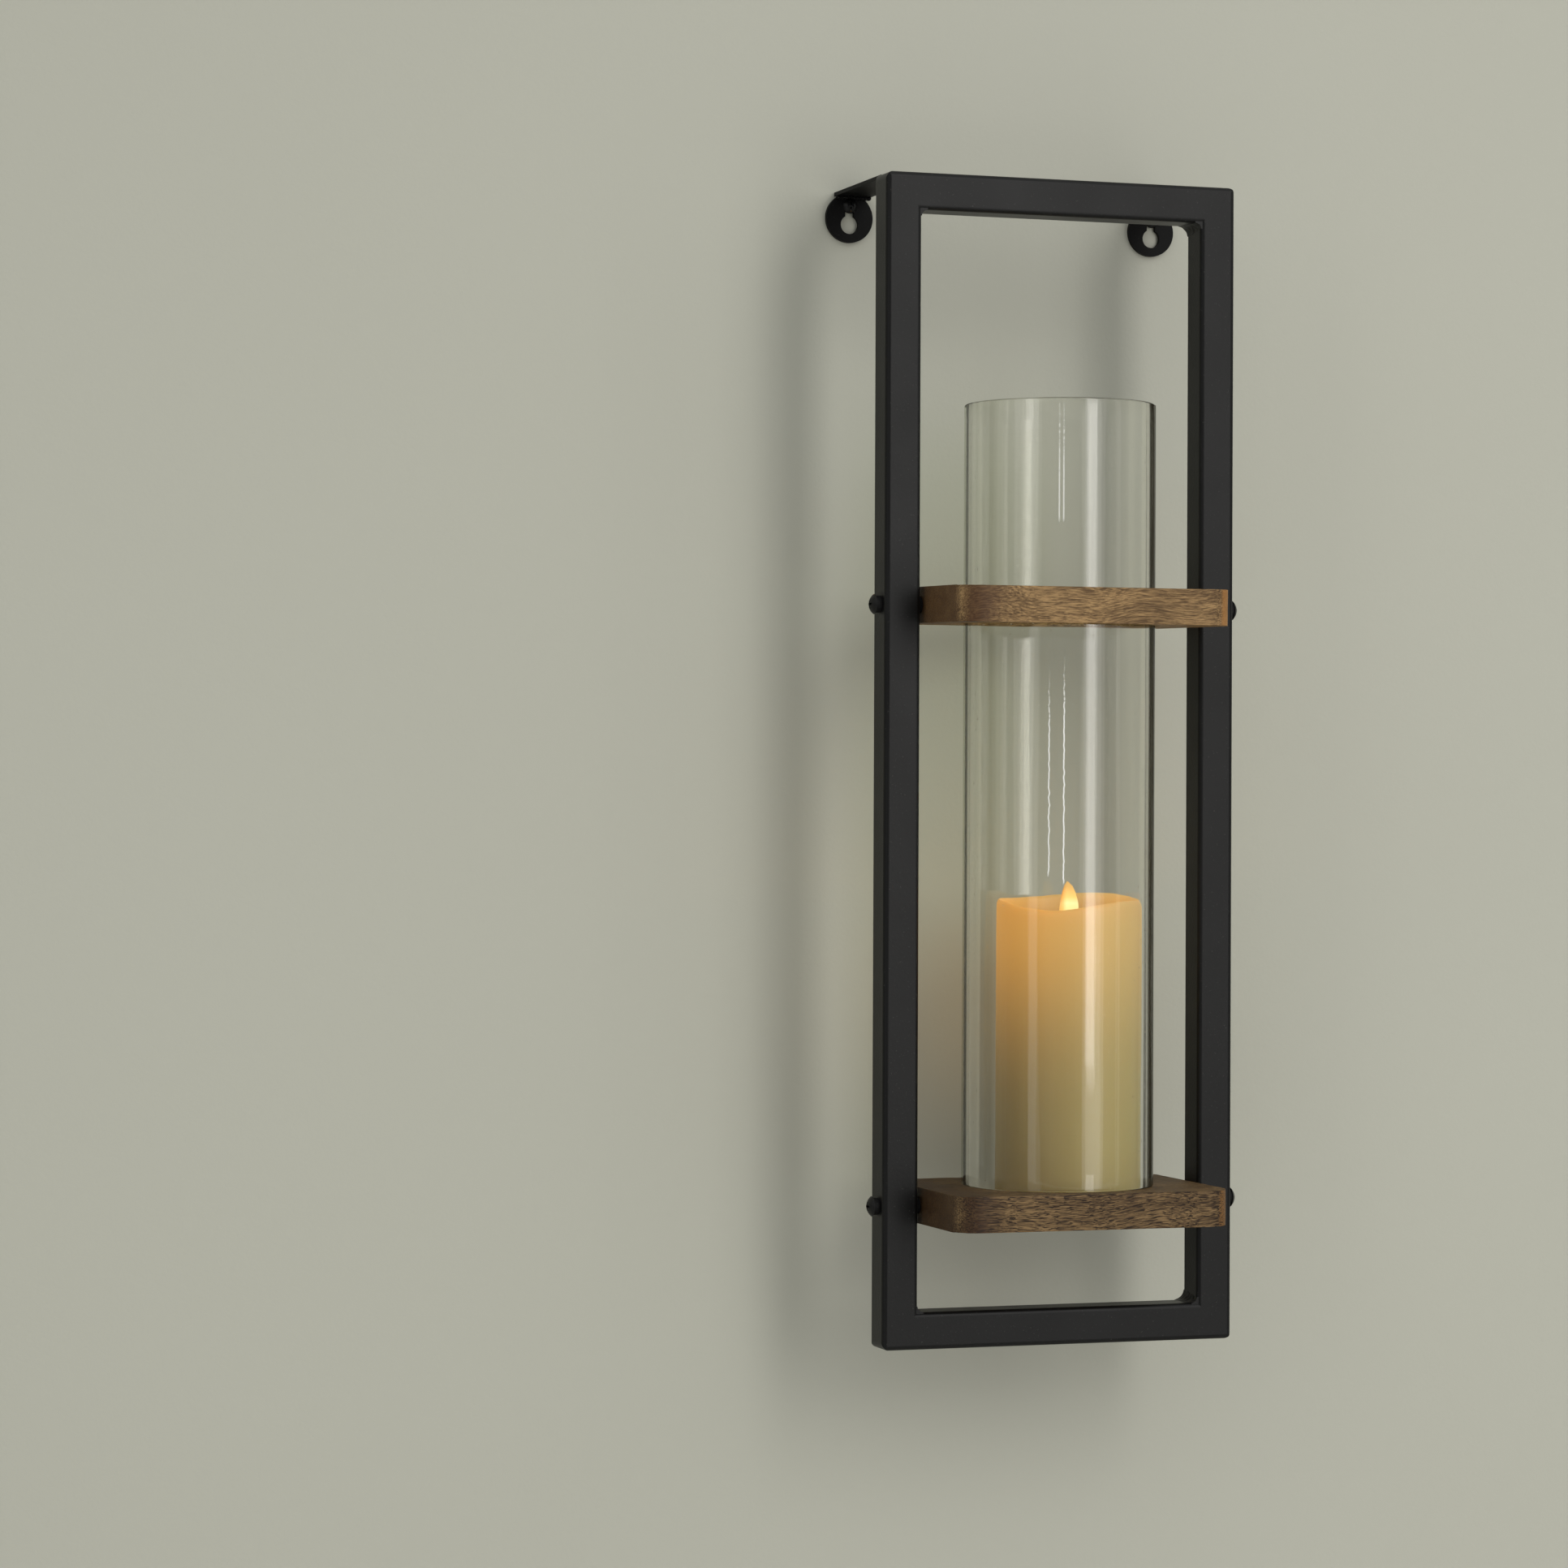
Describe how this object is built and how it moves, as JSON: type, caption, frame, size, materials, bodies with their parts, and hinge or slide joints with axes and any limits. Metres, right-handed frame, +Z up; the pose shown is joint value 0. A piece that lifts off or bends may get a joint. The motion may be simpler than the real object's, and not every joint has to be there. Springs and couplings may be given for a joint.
{
  "type": "wall sconce candle holder",
  "caption": "Tall black steel frame that hangs on a wall, with distressed wooden boards that hold a clear glass cylinder around a battery pillar candle.",
  "frame": {"origin": "on the wall plane, midway between the round openings of the keyhole discs", "axes": "+Z up, -Y out of the wall towards the room, +X to the right as seen from the room"},
  "size_m": [0.208, 0.1727, 0.613],
  "materials": {
    "black_steel": "satin black powder coat",
    "black_screws": "satin black",
    "spacer_rubber": "matte",
    "wood": "distressed, waxed",
    "brass": "machined",
    "glass": "clear, slightly wavy",
    "wax": "smooth wax, lit from inside",
    "liner_plastic": "moulded",
    "zinc_steel": "zinc plated",
    "cell_wrap": "printed film, left plain",
    "green_board": "solder mask",
    "copper_wire": "enamelled copper",
    "led_lens": "moulded lens",
    "flame_plastic": "frosted, lit from below",
    "magnet_steel": "nickel plated",
    "black_plastic": "moulded"
  },
  "bodies": {
    "sconce": {"frame_left_stile": "black_steel", "frame_right_stile": "black_steel", "frame_top_rail": "black_steel", "frame_bottom_rail": "black_steel", "frame_corner_welds": "black_steel", "hanger_strap_left": "black_steel", "hanger_strap_right": "black_steel", "hanger_disc_left": "black_steel", "hanger_disc_right": "black_steel", "hanger_welds": "black_steel", "upper_ring": "wood", "lower_shelf": "wood", "side_screws": "black_screws", "spacers": "spacer_rubber", "threaded_inserts": "brass", "wall_screws": "black_screws"},
    "glass": {"glass_cylinder": "glass"},
    "candle": {"candle_wax": "wax", "candle_core": "liner_plastic", "candle_base": "liner_plastic", "battery_cover": "liner_plastic", "battery_cover_screw": "zinc_steel", "battery_cells": "cell_wrap", "battery_springs": "zinc_steel", "contact_plate": "zinc_steel", "circuit_board": "green_board", "flame_chamber": "liner_plastic", "drive_coil": "copper_wire", "flame_led": "led_lens", "pivot_wire": "zinc_steel", "slide_switch": "zinc_steel"},
    "flame": {"flame_tip": "flame_plastic", "flame_magnet": "magnet_steel"},
    "switch": {"switch_slider": "black_plastic"}
  },
  "joints": [
    {"name": "glass_lift", "type": "slide", "parent": "sconce", "child": "glass", "axis": [0, 0, 1], "range_m": [0, 0.095]},
    {"name": "candle_lift", "type": "slide", "parent": "sconce", "child": "candle", "axis": [0, 0, 1], "range_m": [0, 0.335]},
    {"name": "flame_swing", "type": "hinge", "parent": "candle", "child": "flame", "pos_m": [0.0061, -0.08775, -0.3911], "axis": [1, 0, 0], "range_deg": [-5, 5]},
    {"name": "switch_slide", "type": "slide", "parent": "candle", "child": "switch", "axis": [1, 0, 0], "range_m": [0, 0.003]}
  ]
}
